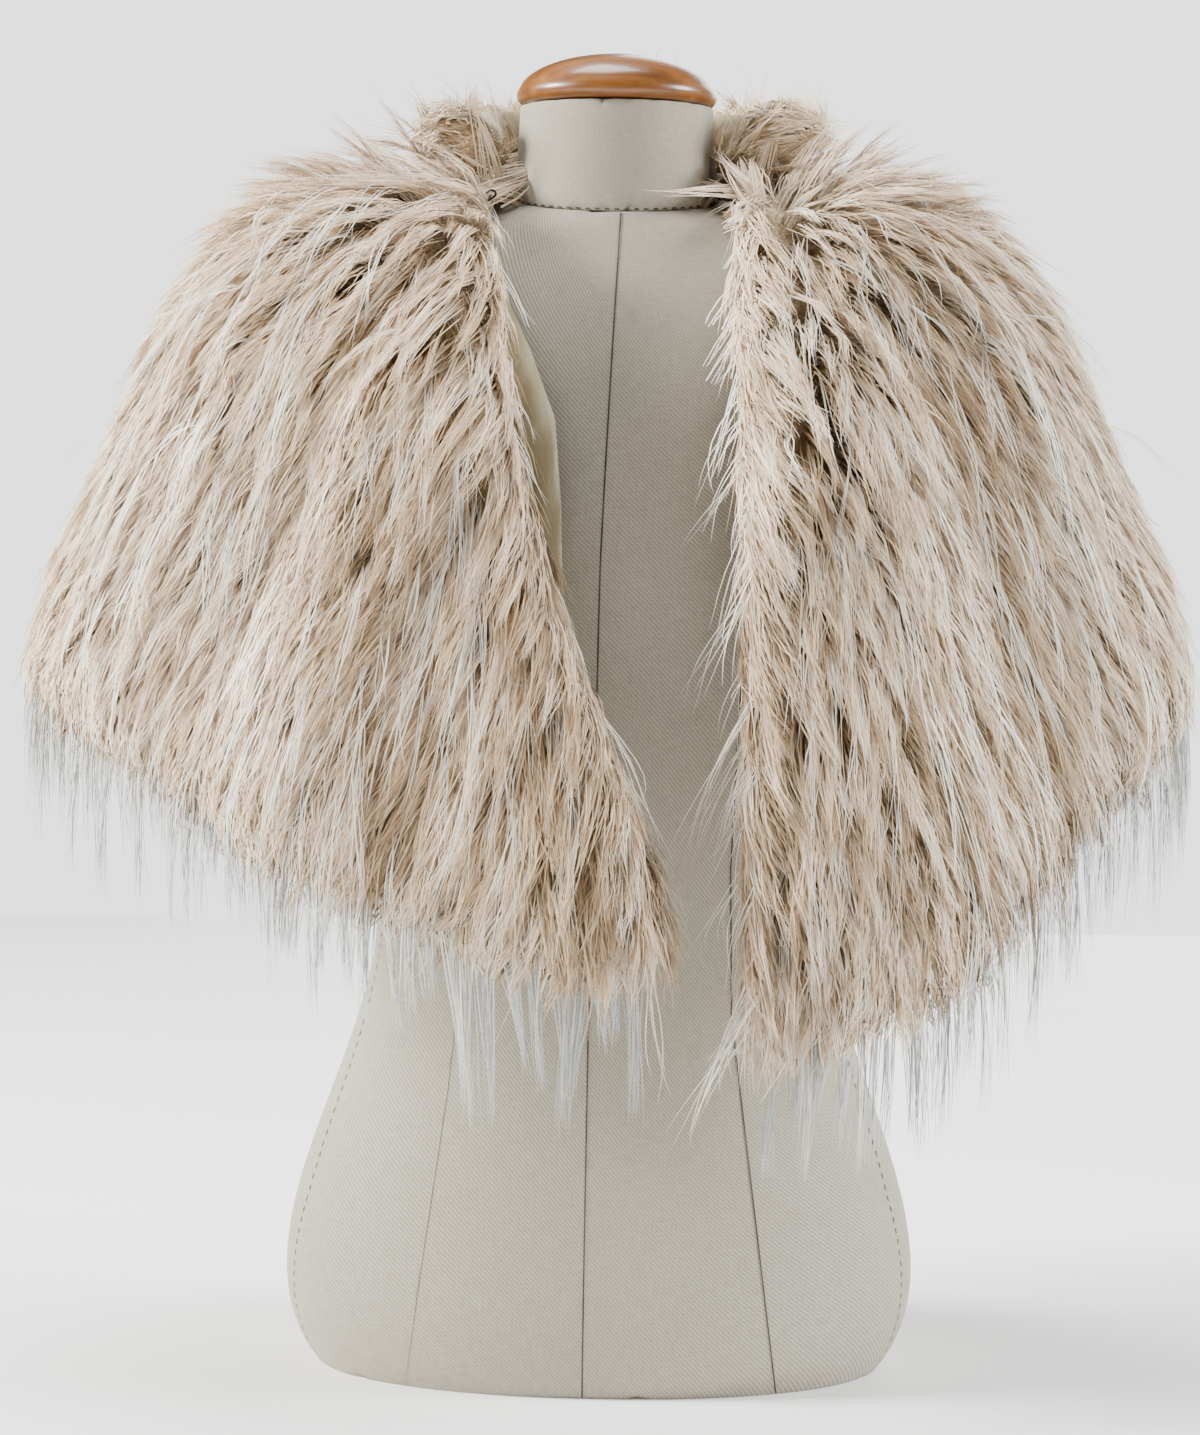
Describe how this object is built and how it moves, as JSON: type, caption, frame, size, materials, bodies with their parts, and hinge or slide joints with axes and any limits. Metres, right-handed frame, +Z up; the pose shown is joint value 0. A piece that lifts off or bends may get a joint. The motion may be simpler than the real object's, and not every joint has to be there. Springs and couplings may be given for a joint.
{
  "type": "fur shrug on dress form",
  "caption": "Cape-shaped long-hair fur shrug with stand collar and satin lining, open in front, worn on a limbless linen dress form with a turned wooden neck cap.",
  "frame": {"origin": "centre of the dress form's flat base, on the surface that it stands on", "axes": "+Z up the form towards its neck cap, -Y towards the front opening, +X towards the wearer's left"},
  "size_m": [0.6352, 0.4131, 0.7193],
  "materials": {
    "linen": "unbleached linen canvas, matt",
    "maple": "honey-stained maple, satin varnish",
    "fur": "long dense pile in cream and beige",
    "guard_hair": "long silky greyish white hair",
    "satin": "champagne satin",
    "black_hook": "black furrier's hook"
  },
  "bodies": {
    "root": {"form_torso": "linen", "form_neck": "linen", "neck_cap": "maple", "fur_right_front": "fur", "fur_left_front": "fur", "fur_back": "fur", "fur_collar": "fur", "lining_right_front": "satin", "lining_left_front": "satin", "lining_back": "satin", "lining_collar": "satin", "guard_hair_right_front": "guard_hair", "guard_hair_left_front": "guard_hair", "guard_hair_back": "guard_hair", "neck_hook": "black_hook", "neck_eye": "black_hook"}
  },
  "joints": []
}
